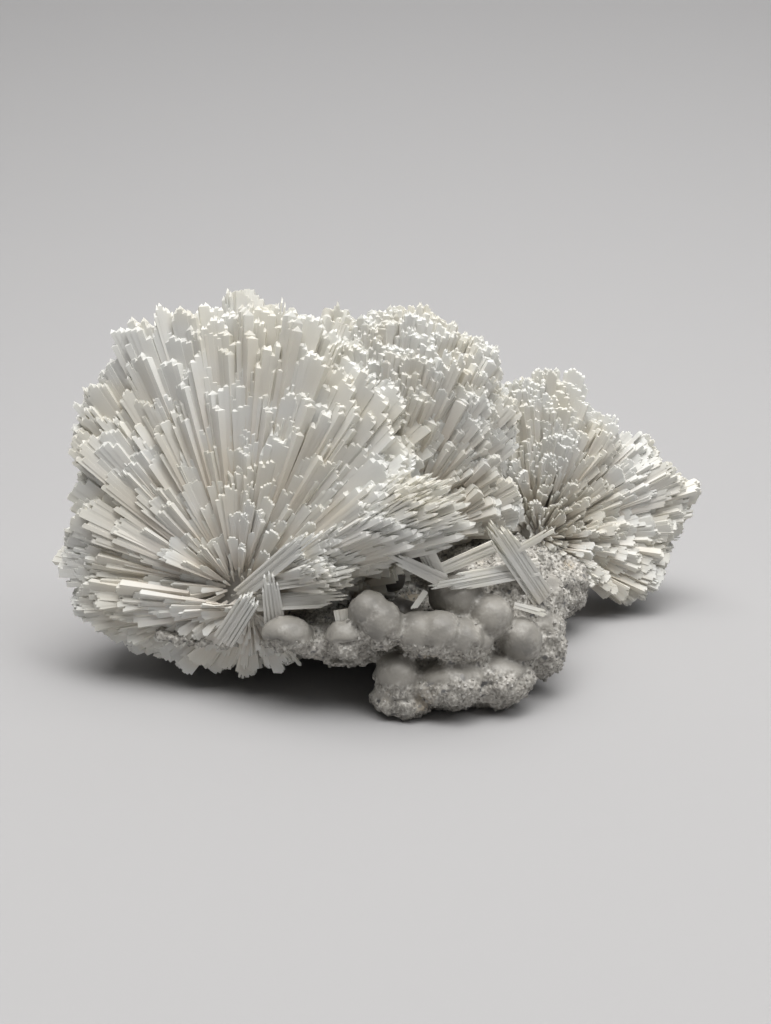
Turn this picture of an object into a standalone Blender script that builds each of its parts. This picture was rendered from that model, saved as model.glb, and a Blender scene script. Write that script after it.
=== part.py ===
"""A calcite cluster: two sprays of white bladed crystals, grown on a lump of grey botryoidal rock.

Every crystal starts at its spray's focus and ends at the growth surface, which is one or more ellipsoids.
X runs along the cluster, to the right as its open fan is seen from the front. Y runs to the back. Z is up.
The origin is on the surface that the cluster rests on, under the middle of its outline.
"""

import math
import random

import bmesh
import bpy
from mathutils import Matrix, Vector, noise

MM = 0.001

# Driving dimensions: the cluster is about 172 mm long, 100 mm deep and 92 mm high.
TOUCH_GAP = 0.35 * MM
CLEAR_OF_TABLE = 4.0 * MM
# A blade of a dome is modelled from this share of its length, just inside the spray's core.
ROOT_SHARE = 0.6
# How far a dome's blades stray from an even spread, as a share of their direction
STRAY = 0.07
# A blade ends in a chisel, whose edge is this share of its width, over this share of its thickness
CHISEL_EDGE = 0.76
CHISEL_DEPTH = 0.7
# How wide a blade's root is for its end, in a dome, in the open fan and on a loose prism
DOME_ROOT = 0.8
FAN_ROOT = 0.32
PRISM_ROOT = 0.9
# How far the open fan's blades lean out of its plane, in degrees, in turn
FAN_LIFTS = (3.0, -3.5, 0.0)
# How deep a core reaches under the tips, as a share of the growth
LEFT_CORE = 0.74
CREST_CORE = 0.76
RIGHT_CORE = 0.8
# How much of a core is pressed in on its open side
PRESSED_SHARE = 0.97
# How many dents a lump of rock has for its size, broad and fine
BROAD_DENTS = 2.3
FINE_DENTS = 5.1

# The left spray opens towards the front as a fan, so its focus shows.
LEFT_FOCUS = Vector((-34, -20, 25)) * MM
LEFT_GROWTH = [
    # centre, radii
    (Vector((-31, 0, 50)) * MM, Vector((46, 38, 42.5)) * MM),
    (Vector((-46, -4, 27)) * MM, Vector((35, 26, 23)) * MM),
    # the upper left shoulder, and the bulge below it
    (Vector((-42, -4, 66)) * MM, Vector((27, 26, 26.5)) * MM),
    (Vector((-62, -8, 44)) * MM, Vector((14, 20, 13)) * MM),
    # the wing, which reaches over the vug
    (Vector((6, -29.5, 48)) * MM, Vector((12.5, 9, 8.5)) * MM),
]
FAN_NORMAL = Vector((-0.25, -1.0, 0.22)).normalized()

# The crest grew into the left spray, behind and right of it.
CREST_FOCUS = Vector((-2, 8, 34)) * MM
CREST_GROWTH = [(Vector((3, 5, 58)) * MM, Vector((28, 25, 31.5)) * MM)]

# The right spray stands apart at the back, in two lobes with one focus.
RIGHT_FOCUS = Vector((43, 33, 22)) * MM
RIGHT_GROWTH = [
    (Vector((46, 35, 43)) * MM, Vector((21, 22, 28)) * MM),
    (Vector((66, 38, 28)) * MM, Vector((23.5, 24, 26)) * MM),
]

# Where the two sprays stopped each other's growth: a plane between them.
MEETING_POINT = Vector((29, 19, 45)) * MM
MEETING_NORMAL = Vector((0.85, 0.52, -0.05)).normalized()

# Moves the origin from the design's own zero to under the middle of the outline.
TO_ORIGIN = Vector((-3.2, -10.8, 0)) * MM

GOLDEN_ANGLE = math.pi * (3 - math.sqrt(5))


def clear_scene():
    for obj in list(bpy.data.objects):
        bpy.data.objects.remove(obj, do_unlink=True)


def stone_material(name, hex_colour, roughness):
    """An opaque stone finish from an sRGB hex colour."""

    def linear(channel):
        return channel / 12.92 if channel <= 0.04045 else ((channel + 0.055) / 1.055) ** 2.4

    channels = [int(hex_colour[i : i + 2], 16) / 255 for i in (0, 2, 4)]
    material = bpy.data.materials.new(name)
    material.use_nodes = True
    shader = material.node_tree.nodes["Principled BSDF"]
    shader.inputs["Base Color"].default_value = (*map(linear, channels), 1)
    shader.inputs["Roughness"].default_value = roughness
    shader.inputs["Metallic"].default_value = 0.0
    return material


def add_object(name, mesh_data, material=None):
    """A linked object from a bmesh, which is freed."""
    mesh = bpy.data.meshes.new(name)
    bmesh.ops.recalc_face_normals(mesh_data, faces=mesh_data.faces)
    mesh_data.to_mesh(mesh)
    mesh_data.free()
    obj = bpy.data.objects.new(name, mesh)
    bpy.context.scene.collection.objects.link(obj)
    if material:
        mesh.materials.append(material)
    return obj


def combine(target, others, operation):
    """Joins the other objects to the target, or cuts them from it, and removes them."""
    group = bpy.data.collections.new(target.name + "_tools")
    bpy.context.scene.collection.children.link(group)
    for other in others:
        bpy.context.scene.collection.objects.unlink(other)
        group.objects.link(other)
    boolean = target.modifiers.new(operation.title(), "BOOLEAN")
    boolean.operation = operation
    boolean.operand_type = "COLLECTION"
    boolean.collection = group
    boolean.solver = "EXACT"
    graph = bpy.context.evaluated_depsgraph_get()
    result = bpy.data.meshes.new_from_object(target.evaluated_get(graph))
    target.modifiers.remove(boolean)
    result.name = target.data.name
    target.data = result
    for other in others:
        bpy.data.objects.remove(other, do_unlink=True)
    bpy.data.collections.remove(group)
    return target


def keep_main_body(obj):
    """Drops chips that a cut left loose, and fills pockets that crystals closed in."""
    mesh_data = bmesh.new()
    mesh_data.from_mesh(obj.data)
    bmesh.ops.remove_doubles(mesh_data, verts=mesh_data.verts, dist=0.002 * MM)
    shells, seen = [], set()
    for start in mesh_data.faces:
        if start in seen:
            continue
        shell, waiting = [], [start]
        seen.add(start)
        while waiting:
            face = waiting.pop()
            shell.append(face)
            for edge in face.edges:
                for neighbour in edge.link_faces:
                    if neighbour not in seen:
                        seen.add(neighbour)
                        waiting.append(neighbour)
        shells.append(shell)
    largest = max(shells, key=lambda shell: sum(face.calc_area() for face in shell))
    spare = [face for shell in shells if shell is not largest for face in shell]
    bmesh.ops.delete(mesh_data, geom=spare, context="FACES")
    mesh_data.to_mesh(obj.data)
    mesh_data.free()


def reach(focus, direction, growth):
    """How far a crystal grows from the focus: to the far side of the farthest ellipsoid in its way."""
    farthest = 0.0
    for centre, radii in growth:
        start = Vector(((focus - centre)[i] / radii[i] for i in range(3)))
        step = Vector((direction[i] / radii[i] for i in range(3)))
        a, b, c = step.dot(step), start.dot(step), start.dot(start) - 1
        inside = b * b - a * c
        if inside > 0:
            farthest = max(farthest, (-b + math.sqrt(inside)) / a)
    if direction.z < 0:
        farthest = min(farthest, (CLEAR_OF_TABLE - focus.z) / direction.z)
    return farthest


def even_directions(count):
    """Unit vectors spread evenly over a sphere, on a golden-angle spiral."""
    for i in range(count):
        z = 1 - (2 * i + 1) / count
        ring = math.sqrt(1 - z * z)
        angle = GOLDEN_ANGLE * i
        yield Vector((ring * math.cos(angle), ring * math.sin(angle), z))


def blade(root, direction, length, width, thickness, facing, root_share=0.45):
    """One flat prism with a chisel end, its flat towards facing. Its root is root_share as wide."""
    across = direction.cross(facing).normalized()
    out = across.cross(direction).normalized()
    mesh_data = bmesh.new()

    def ring(along, share):
        half_width, half_thickness = width / 2 * share, thickness / 2 * share
        corners = ((-1, -1), (1, -1), (1, 1), (-1, 1))
        return [
            mesh_data.verts.new(root + direction * along + across * half_width * a + out * half_thickness * b)
            for a, b in corners
        ]

    foot, shoulder = ring(0, root_share), ring(length - thickness * CHISEL_DEPTH, 1)
    half_edge = across * width / 2 * CHISEL_EDGE
    tip = [mesh_data.verts.new(root + direction * length + half_edge * side) for side in (-1, 1)]
    mesh_data.faces.new(foot[::-1])
    for i in range(4):
        j = (i + 1) % 4
        mesh_data.faces.new((foot[i], foot[j], shoulder[j], shoulder[i]))
    mesh_data.faces.new((shoulder[0], shoulder[1], tip[1], tip[0]))
    mesh_data.faces.new((shoulder[1], shoulder[2], tip[1]))
    mesh_data.faces.new((shoulder[2], shoulder[3], tip[0], tip[1]))
    mesh_data.faces.new((shoulder[3], shoulder[0], tip[0]))
    return add_object("blade", mesh_data)


def spray_core(name, focus, growth, share, open_normal=None):
    """The solid heart of a spray, under the tips of its blades. Its open side is pressed flat."""
    mesh_data = bmesh.new()
    bmesh.ops.create_icosphere(mesh_data, subdivisions=2, radius=1)
    for vert in mesh_data.verts:
        direction = vert.co.normalized()
        offset = direction * reach(focus, direction, growth) * share
        if open_normal:
            ahead = offset.dot(open_normal)
            if ahead > 0:
                offset -= open_normal * ahead * PRESSED_SHARE
        vert.co = focus + offset
    return add_object(name, mesh_data)


def growing_blades(rng, focus, growth, count, width, thickness, lowest, open_normal=None, open_limit=0.0):
    """Blades in every direction that is not closed to them, each ending near the growth surface."""
    blades = []
    for direction in even_directions(count):
        jitter = Vector([rng.uniform(-1, 1) for _ in range(3)]) * STRAY
        size = rng.uniform(0.75, 1.3)
        length_share = rng.uniform(0.93, 1.04)
        roll = rng.uniform(0, math.tau)
        direction = (direction + jitter).normalized()
        if direction.z < lowest or (open_normal and direction.dot(open_normal) > open_limit):
            continue
        length = reach(focus, direction, growth) * length_share
        side = direction.orthogonal().normalized()
        side.rotate(Matrix.Rotation(roll, 3, direction))
        root = focus + direction * length * ROOT_SHARE
        rest = length * (1 - ROOT_SHARE)
        blades.append(blade(root, direction, rest, width * size, thickness * size, side, DOME_ROOT))
    return blades


def fan_blades(rng, focus, growth, normal, first_deg, last_deg, step_deg, width, thickness):
    """The blades that show along their whole length, side by side in the open face of the fan."""
    right = Vector((1, 0, 0))
    right = (right - normal * right.dot(normal)).normalized()
    up = right.cross(normal)
    up = -up if up.z < 0 else up
    blades, angle, layer = [], first_deg, 0
    while angle < last_deg:
        turn = math.radians(angle + rng.uniform(-1.5, 1.5))
        lift = math.radians(FAN_LIFTS[layer % len(FAN_LIFTS)] + rng.uniform(-1.5, 1.5))
        in_plane = right * math.cos(turn) + up * math.sin(turn)
        direction = in_plane * math.cos(lift) + normal * math.sin(lift)
        length = reach(focus, direction, growth) * rng.uniform(0.86, 1.02)
        tilt = normal.copy()
        tilt.rotate(Matrix.Rotation(rng.uniform(-0.5, 0.5), 3, direction))
        size = rng.uniform(0.8, 1.25)
        start = rng.uniform(7, 12) * MM
        root = focus + direction * start
        blades.append(blade(root, direction, length - start, width * size, thickness * size, tilt, FAN_ROOT))
        angle += step_deg * rng.uniform(0.8, 1.2)
        layer += 1
    return blades


def half_space(point, normal, name="half_space"):
    """A box that fills the far side of a plane, for a cut."""
    size = 300 * MM
    mesh_data = bmesh.new()
    bmesh.ops.create_cube(mesh_data, size=size)
    turn = Vector((0, 0, 1)).rotation_difference(normal).to_matrix().to_4x4()
    place = Matrix.Translation(point + normal * size / 2) @ turn
    bmesh.ops.transform(mesh_data, verts=mesh_data.verts, matrix=place)
    return add_object(name, mesh_data)


def rock_lump(centre, radii, roughness, seed, gap=0.0):
    """A rugged lump of rock: a sphere stretched to its radii and dented by noise."""
    mesh_data = bmesh.new()
    bmesh.ops.create_icosphere(mesh_data, subdivisions=2, radius=1)
    for vert in mesh_data.verts:
        direction = vert.co.normalized()
        dent = 1 + roughness * noise.noise(direction * BROAD_DENTS + Vector((seed, 0, 0)))
        dent += roughness / 2 * noise.noise(direction * FINE_DENTS + Vector((0, seed, 0)))
        offset = Vector([direction[i] * radii[i] * dent for i in range(3)])
        vert.co = centre + offset + direction * gap
    return add_object("lump", mesh_data)


def grape(centre, radius, gap=0.0, stretch=(1, 1, 1)):
    """One smooth round lump of the botryoidal crust, turned by an amount of its own."""
    mesh_data = bmesh.new()
    bmesh.ops.create_icosphere(mesh_data, subdivisions=2, radius=1)
    turn = Matrix.Rotation(radius * 5000, 3, "Z")
    for vert in mesh_data.verts:
        direction = turn @ vert.co.normalized()
        vert.co = centre + Vector([direction[i] * (radius * stretch[i] + gap) for i in range(3)])
    return add_object("grape", mesh_data)


# The rock: lumps as (centre, radii, roughness, seed), in millimetres.
ROCK_LUMPS = [
    # the slab under the sprays
    ((-12, 6, 14), (50, 34, 10), 0.22, 1.0),
    # the right shoulder, behind the grapes
    ((27, -8, 18), (17, 20, 16), 0.18, 2.0),
    # the seat of the right spray
    ((36, 22, 12), (19, 18, 12), 0.20, 3.0),
    # the front foot
    ((16, -24, 7), (18, 12, 9), 0.22, 4.0),
    # the rear and left feet
    ((-12, 26, 6), (18, 12, 8), 0.20, 5.0),
    ((-47, 8, 6), (13, 12, 8), 0.20, 6.0),
    ((36, 24, 5), (13, 11, 7), 0.20, 7.0),
    # the broken front edge under the fan
    ((-22, -22, 16), (24, 11, 5), 0.25, 8.0),
]

# The grapes that show at the front, as (centre, radius, stretch), in millimetres.
GRAPES = [
    ((-4, -33, 25), 4.2, (1, 1, 1.1)),
    ((-1, -34, 22), 4.8, (1, 1, 1.2)),
    ((10, -33, 21), 6.5, (1.35, 1, 0.85)),
    ((17, -33, 20), 5.5, (1.2, 1, 0.85)),
    ((24, -27, 22.5), 5.2, (1, 1, 1)),
    ((31, -28, 16.5), 5.2, (1, 1, 1.1)),
    ((3, -25, 24.5), 3.4, (1, 1, 1)),
    ((-1, -20, 29.5), 3.0, (1, 1, 1)),
    ((7.5, -20, 28), 3.2, (1, 1, 1)),
    ((16, -24, 26), 6.0, (1, 1, 1)),
    ((-9, -34, 19), 4.0, (1.1, 1, 1)),
    ((3, -32, 9), 5.5, (1, 1, 1)),
    ((15, -33, 8), 6.5, (1.3, 1, 0.8)),
    ((4, -32, 4), 5.5, (1.3, 1, 0.8)),
    ((26, -30, 7), 6.5, (1.2, 1, 0.9)),
    ((36, -20, 12), 7.0, (0.9, 1, 1.2)),
    ((38, -12, 20), 6.5, (0.9, 1.2, 1)),
]

# The vug, hollowed out under the fan's right wing: centre and radii in millimetres.
VUG = ((3, -24, 29), (8.5, 14, 6.5))


def rock_solid(gap=0.0):
    """The grey rock with its grapes. With a gap it is that much larger all over, to cut what grew on it."""
    parts = [
        rock_lump(Vector(centre) * MM, Vector(radii) * MM, roughness, seed, gap=gap)
        for centre, radii, roughness, seed in ROCK_LUMPS
    ]
    base = combine(parts[0], parts[1:], "UNION")
    centre, radii = VUG
    hollow = rock_lump(Vector(centre) * MM, Vector(radii) * MM - Vector((gap, gap, gap)), 0.15, 9.0)
    base = combine(base, [hollow], "DIFFERENCE")
    grapes = [grape(Vector(centre) * MM, radius * MM, gap, stretch) for centre, radius, stretch in GRAPES]
    base = combine(base, grapes, "UNION")
    if not gap:
        base = combine(base, [half_space(Vector(), Vector((0, 0, -1)))], "DIFFERENCE")
    return base


# The loose prisms across the vug, as (root, tip, width, thickness), in millimetres.
VUG_PRISMS = [
    ((38, -24, 24), (23, -29, 45), 6.5, 4.0),
    ((33, -25, 32), (9, -32, 29), 3.8, 3.0),
    ((10, -28, 28), (7, -28, 38), 4.0, 3.0),
    ((11, -31, 30), (2, -33, 34), 3.0, 2.2),
    ((12, -28, 31), (28, -24, 38), 5.0, 2.0),
    ((28, -26, 36), (37, -26, 41), 1.8, 1.4),
    ((9, -31, 29), (5, -33, 24), 2.0, 1.6),
]


def vug_crystals():
    """The few prisms that cross above the vug, grown into one piece."""
    towards_front = Vector((0.1, -1, 0.3)).normalized()
    prisms = []
    for root, tip, width, thickness in VUG_PRISMS:
        root, run = Vector(root) * MM, (Vector(tip) - Vector(root)) * MM
        direction = run.normalized()
        width, thickness = width * MM, thickness * MM
        prisms.append(blade(root, direction, run.length, width, thickness, towards_front, PRISM_ROOT))
    return combine(prisms[0], prisms[1:], "UNION")


def main_spray():
    """The left fan and the crest, which grew into each other and are one solid."""
    rng = random.Random(11)
    left = spray_core("left_core", LEFT_FOCUS, LEFT_GROWTH, LEFT_CORE, FAN_NORMAL)
    crest = spray_core("crest_core", CREST_FOCUS, CREST_GROWTH, CREST_CORE)
    blades = growing_blades(
        rng,
        LEFT_FOCUS,
        LEFT_GROWTH,
        count=178,
        width=8.8 * MM,
        thickness=5.0 * MM,
        lowest=-0.45,
        open_normal=FAN_NORMAL,
        open_limit=-0.08,
    )
    blades += fan_blades(
        rng,
        LEFT_FOCUS,
        LEFT_GROWTH,
        FAN_NORMAL,
        first_deg=-12,
        last_deg=238,
        step_deg=6.0,
        width=5.4 * MM,
        thickness=3.6 * MM,
    )
    blades += growing_blades(
        rng, CREST_FOCUS, CREST_GROWTH, count=80, width=7.2 * MM, thickness=4.2 * MM, lowest=-0.25
    )
    return combine(left, [crest] + blades, "UNION")


def right_spray():
    rng = random.Random(23)
    core = spray_core("right_core", RIGHT_FOCUS, RIGHT_GROWTH, RIGHT_CORE)
    blades = growing_blades(
        rng, RIGHT_FOCUS, RIGHT_GROWTH, count=124, width=6.2 * MM, thickness=4.2 * MM, lowest=-0.5
    )
    return combine(core, blades, "UNION")


def finish_piece(obj, name, material, cutters=()):
    """Cuts the piece clear of its neighbours, cleans it and gives it its name and finish."""
    if cutters:
        combine(obj, list(cutters), "DIFFERENCE")
    keep_main_body(obj)
    obj.name = obj.data.name = name
    obj.data.materials.clear()
    obj.data.materials.append(material)
    for polygon in obj.data.polygons:
        polygon.material_index = 0
    obj.data.transform(Matrix.Translation(TO_ORIGIN))


def main():
    clear_scene()
    calcite = stone_material("milky_calcite", "EDEDE6", 0.35)
    rock = stone_material("botryoidal_rock", "B9B4AC", 0.55)
    half_gap = MEETING_NORMAL * TOUCH_GAP / 2
    beyond = half_space(MEETING_POINT - half_gap, MEETING_NORMAL)
    finish_piece(main_spray(), "main_spray", calcite, [rock_solid(TOUCH_GAP), beyond])
    before = half_space(MEETING_POINT + half_gap, -MEETING_NORMAL)
    finish_piece(right_spray(), "right_spray", calcite, [rock_solid(TOUCH_GAP), before])
    finish_piece(vug_crystals(), "vug_crystals", calcite, [rock_solid(TOUCH_GAP)])
    finish_piece(rock_solid(), "matrix", rock)


main()
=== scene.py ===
"""The looks of a calcite cluster: radiating sprays of milky bladed crystals on a grey botryoidal rock.

Metres, +Z up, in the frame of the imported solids. X runs to the right as the open fan is seen, and Y runs
to the back.
"""

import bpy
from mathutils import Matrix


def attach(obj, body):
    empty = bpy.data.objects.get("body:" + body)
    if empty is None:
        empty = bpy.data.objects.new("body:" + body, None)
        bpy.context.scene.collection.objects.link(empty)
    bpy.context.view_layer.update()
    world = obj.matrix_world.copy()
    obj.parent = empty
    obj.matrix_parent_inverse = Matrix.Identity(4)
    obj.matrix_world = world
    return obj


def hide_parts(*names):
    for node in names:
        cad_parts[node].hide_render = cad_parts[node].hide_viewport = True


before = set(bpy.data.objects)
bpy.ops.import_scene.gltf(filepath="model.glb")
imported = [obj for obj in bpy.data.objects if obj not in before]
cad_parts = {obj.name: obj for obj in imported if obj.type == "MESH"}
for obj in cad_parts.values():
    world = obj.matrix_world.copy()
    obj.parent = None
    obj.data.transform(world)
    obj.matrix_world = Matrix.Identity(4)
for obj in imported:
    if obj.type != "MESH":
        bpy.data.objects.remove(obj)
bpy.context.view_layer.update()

import math
import random

import bmesh
import bpy
import numpy as np
from mathutils import Matrix, Vector, noise

MM = 0.001

# The photograph's viewpoint
# The camera looks along +Y and 15 degrees down, so that the near foot stands at the bottom of the frame.
# Its focal length is worked out for a frame of 771 by 1024 pixels, whose long side spans the sensor.
FRAME_LONG_SIDE_PX = 1024
FOCAL_PX = 1000
PITCH_DEG = 15.0
DISTANCE = 250 * MM
SENSOR_MM = 36
# The design's own zero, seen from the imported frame's origin, as the solids are moved.
TO_ORIGIN = Vector((-3.2, -10.8, 0)) * MM
LOOK_AT = Vector((0, 0, 38.9)) * MM + TO_ORIGIN

camera_data = bpy.data.cameras.new("camera")
camera_data.sensor_width = SENSOR_MM
camera_data.lens = SENSOR_MM * FOCAL_PX / FRAME_LONG_SIDE_PX
camera_data.clip_start = 10 * MM
camera = bpy.data.objects.new("camera", camera_data)
pitch = math.radians(PITCH_DEG)
camera.location = LOOK_AT + Vector((0, -math.cos(pitch), math.sin(pitch))) * DISTANCE
camera.rotation_euler = (math.pi / 2 - pitch, 0, 0)
bpy.context.scene.collection.objects.link(camera)
bpy.context.scene.camera = camera


# The table and its backdrop
# One sheet of matt card lies flat under the cluster and curves up behind it. One broad lamp hangs overhead.
# A smaller one fills from the front right, and a weak one lights the rising part of the sheet.
SHEET_HALF_WIDTH = 1.6
SHEET_FRONT = -1.2
SHEET_BEND_START = 0.15
SHEET_BEND_RADIUS = 0.28
SHEET_BEND_STEPS = 12
SHEET_TOP = 1.3
SHEET_HEX = "A6A5A5"
WORLD_HEX = "C9CACC"
WORLD_STRENGTH = 0.17


def linear(hex_colour):
    """The linear RGB of an sRGB hex colour."""
    channels = [int(hex_colour[i : i + 2], 16) / 255 for i in (0, 2, 4)]
    return [c / 12.92 if c <= 0.04045 else ((c + 0.055) / 1.055) ** 2.4 for c in channels]


def put(tree, kind, inputs=None, **settings):
    """Adds a node with its settings, and fills each input with a value or a link to another node's output."""
    node = tree.nodes.new(kind)
    for name, value in settings.items():
        setattr(node, name, value)
    for key, value in (inputs or {}).items():
        socket = node.inputs[key]
        if isinstance(value, bpy.types.NodeSocket):
            tree.links.new(value, socket)
        else:
            socket.default_value = value
    return node


def new_material(name):
    """An empty material, and its node tree."""
    material = bpy.data.materials.new(name)
    material.use_nodes = True
    material.node_tree.nodes.clear()
    return material, material.node_tree


def object_from(name, mesh_data, material=None):
    """A linked object from a bmesh, which is freed."""
    mesh = bpy.data.meshes.new(name)
    mesh_data.to_mesh(mesh)
    mesh_data.free()
    obj = bpy.data.objects.new(name, mesh)
    bpy.context.scene.collection.objects.link(obj)
    if material:
        mesh.materials.append(material)
    return obj


card, tree = new_material("matt_card")
shader = put(tree, "ShaderNodeBsdfPrincipled", {"Base Color": (*linear(SHEET_HEX), 1), "Roughness": 0.9})
put(tree, "ShaderNodeOutputMaterial", {"Surface": shader.outputs[0]})

profile = [(SHEET_FRONT, 0.0)]
for i in range(SHEET_BEND_STEPS + 1):
    turn = math.pi / 2 * i / SHEET_BEND_STEPS
    profile.append(
        (SHEET_BEND_START + SHEET_BEND_RADIUS * math.sin(turn), SHEET_BEND_RADIUS * (1 - math.cos(turn)))
    )
profile.append((SHEET_BEND_START + SHEET_BEND_RADIUS, SHEET_TOP))
sheet_mesh = bmesh.new()
rows = [[sheet_mesh.verts.new((x, y, z)) for x in (-SHEET_HALF_WIDTH, SHEET_HALF_WIDTH)] for y, z in profile]
for row, following in zip(rows, rows[1:]):
    sheet_mesh.faces.new((row[0], row[1], following[1], following[0]))
backdrop = object_from("backdrop", sheet_mesh, card)
for polygon in backdrop.data.polygons:
    polygon.use_smooth = True


def soft_lamp(name, place, aim, size, watts, colour):
    """A square area lamp that points at a place."""
    data = bpy.data.lights.new(name, "AREA")
    data.size, data.energy, data.color = size, watts, colour
    lamp = bpy.data.objects.new(name, data)
    lamp.location = place
    lamp.rotation_euler = (Vector(aim) - Vector(place)).to_track_quat("-Z", "Y").to_euler()
    bpy.context.scene.collection.objects.link(lamp)


# name, place, aim and size in metres, power in watts, colour
soft_lamp("overhead", (0.0, -0.03, 1.5), (0, 0, 0), 1.5, 36, (1.0, 0.99, 0.98))
soft_lamp("right_fill", (0.8, -0.5, 1.1), (0, 0, 0.05), 0.6, 5.0, (0.98, 0.99, 1.0))
soft_lamp("wall_wash", (0.0, -0.1, 1.0), (0, 0.43, 0.65), 0.5, 2.5, (0.97, 0.98, 1.0))

world = bpy.data.worlds.new("studio")
world.use_nodes = True
background = world.node_tree.nodes["Background"]
background.inputs["Color"].default_value = (*linear(WORLD_HEX), 1)
background.inputs["Strength"].default_value = WORLD_STRENGTH
bpy.context.scene.world = world
bpy.context.scene.view_settings.view_transform = "Standard"


# The rock
# A lump of grey, waxy botryoidal crust over broken host rock: smooth grapes where it grew freely, and sugary
# where it broke. It is one mesh of lumps, grapes and a vug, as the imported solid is, at a finer grain.
ROCK_VOXEL = 0.7 * MM
# How fine the noise is that dents a lump, in turn
BROAD_DENTS = 2.3
FINE_DENTS = 5.1
# A grape swells by a share of its size, is dented, and has creases between the lobes that it is made of.
GRAPE_SWELL = 0.07
GRAPE_DENT_DEPTH = 0.05
GRAPE_DENTS = 1.7
CREASE_DEPTH = 0.22
CREASE_WIDTH = 0.3
CREASES = 2.2
# Its smooth skin ends at this share of its size, fades over the last of it, and has a ragged edge where
# it broke off.
SKIN_REACH = 1.13
SKIN_FADE = 0.1
BREAK_FADE = 0.08
RAGGED_DEPTH = 0.35
RAGGED_NOISE = 330
# The vug is lined with smooth crust, a little past its own size, and its depth is painted dark as shade,
# since little light reaches in. The lining and its painted shade begin at this place along Y, and fade in
# over the next millimetres.
LINING_AND_SHADE_REACH = 1.15
LINING_AND_SHADE_FADE = 0.1
LINING_AND_SHADE_FRONT_MM = -28
LINING_AND_SHADE_FADE_MM = 8
# Broken rock stands out in coarse and fine bumps, with cracks between them.
ROUGH_DEPTH_MM = 1.2
COARSE_BUMPS = 130
FINE_BUMPS = 420
FINE_SHARE = 0.7
CRACKS = 260
CRACK_DEPTH = 1.2
BUMP_FALLOFF = 0.9
BUMP_LACUNARITY = 2.1
ROCK_LUMPS = [
    # centre, radii, roughness, seed, in millimetres
    ((-12, 6, 14), (50, 34, 10), 0.22, 1.0),
    ((27, -8, 18), (17, 20, 16), 0.18, 2.0),
    ((36, 22, 12), (19, 18, 12), 0.20, 3.0),
    ((16, -24, 7), (18, 12, 9), 0.22, 4.0),
    ((-12, 26, 6), (18, 12, 8), 0.20, 5.0),
    ((-47, 8, 6), (13, 12, 8), 0.20, 6.0),
    ((36, 24, 5), (13, 11, 7), 0.20, 7.0),
    ((-13, -22, 16), (17, 11, 5.5), 0.25, 8.0),
    # the wall behind the vug
    ((3, -4, 31), (12, 8, 10), 0.15, 10.0),
]
GRAPES = [
    # centre, radius and stretch, in millimetres, and the height below which its smooth skin broke off,
    # from -1 at its foot to 1 at its top, or -2 for nowhere
    ((-4, -33, 25), 4.2, (1, 1, 1.1), -0.6),
    ((-1, -34, 22), 4.8, (1, 1, 1.2), -0.3),
    ((7.5, -33, 19.5), 5.2, (1, 1, 1), -0.2),
    ((12, -34, 20), 5.0, (1, 1, 1.05), -0.3),
    ((16.5, -33, 18), 5.0, (1.1, 1, 1), -0.1),
    ((20.5, -31, 16.5), 3.6, (1.2, 1, 1), 0.0),
    ((24, -28, 21.5), 5.0, (1, 1, 1), -2),
    ((31, -28.5, 16.5), 4.7, (1, 1, 1.1), -0.8),
    ((-2, -12, 31), 3.0, (1, 1, 1), -2),
    ((6, -12, 31.5), 3.0, (1, 1, 1), -2),
    ((1.5, -15, 26.5), 3.2, (1, 1, 1), -2),
    ((-1, -11, 36), 2.8, (1, 1, 1), -2),
    ((-22, -32, 19), 4.6, (1.2, 1, 0.9), -0.1),
    ((16, -24, 26), 6.0, (1, 1, 1), -2),
    ((-9, -34, 19), 4.0, (1.1, 1, 1), 0.1),
    ((3, -32, 9), 5.5, (1, 1, 1), 0.0),
    ((15, -33, 8), 6.5, (1.3, 1, 0.8), 0.5),
    ((4, -32, 4), 5.5, (1.3, 1, 0.8), 0.3),
    ((26, -30, 7), 6.5, (1.2, 1, 0.9), 0.6),
    ((36, -20, 12), 7.0, (0.9, 1, 1.2), 0.7),
    ((38, -12, 20), 6.5, (0.9, 1.2, 1), 0.7),
]
VUG_CENTRE = (4, -23, 30.5)
VUG_RADII = (10.5, 13, 10)
VUG_ROUGHNESS = 0.15
VUG_SEED = 9.0


def rock_lump(mesh_data, centre, radii, roughness, seed):
    """Adds a sphere stretched to its radii and dented by noise, all in millimetres."""
    made = bmesh.ops.create_icosphere(mesh_data, subdivisions=4, radius=1)
    for vert in made["verts"]:
        direction = vert.co.normalized()
        dent = 1 + roughness * noise.noise(direction * BROAD_DENTS + Vector((seed, 0, 0)))
        dent += roughness / 2 * noise.noise(direction * FINE_DENTS + Vector((0, seed, 0)))
        offset = Vector([direction[i] * radii[i] * dent for i in range(3)])
        vert.co = (Vector(centre) + offset) * MM + TO_ORIGIN


def evaluated_copy(obj):
    """A mesh of the object as its modifiers leave it."""
    graph = bpy.context.evaluated_depsgraph_get()
    return bpy.data.meshes.new_from_object(obj.evaluated_get(graph))


def remeshed(obj, voxel):
    """Replaces the object's mesh with its voxel remesh."""
    modifier = obj.modifiers.new("Remesh", "REMESH")
    modifier.mode, modifier.voxel_size, modifier.adaptivity = "VOXEL", voxel, 0.0
    mesh = evaluated_copy(obj)
    obj.modifiers.remove(modifier)
    obj.data = mesh
    return obj


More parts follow.
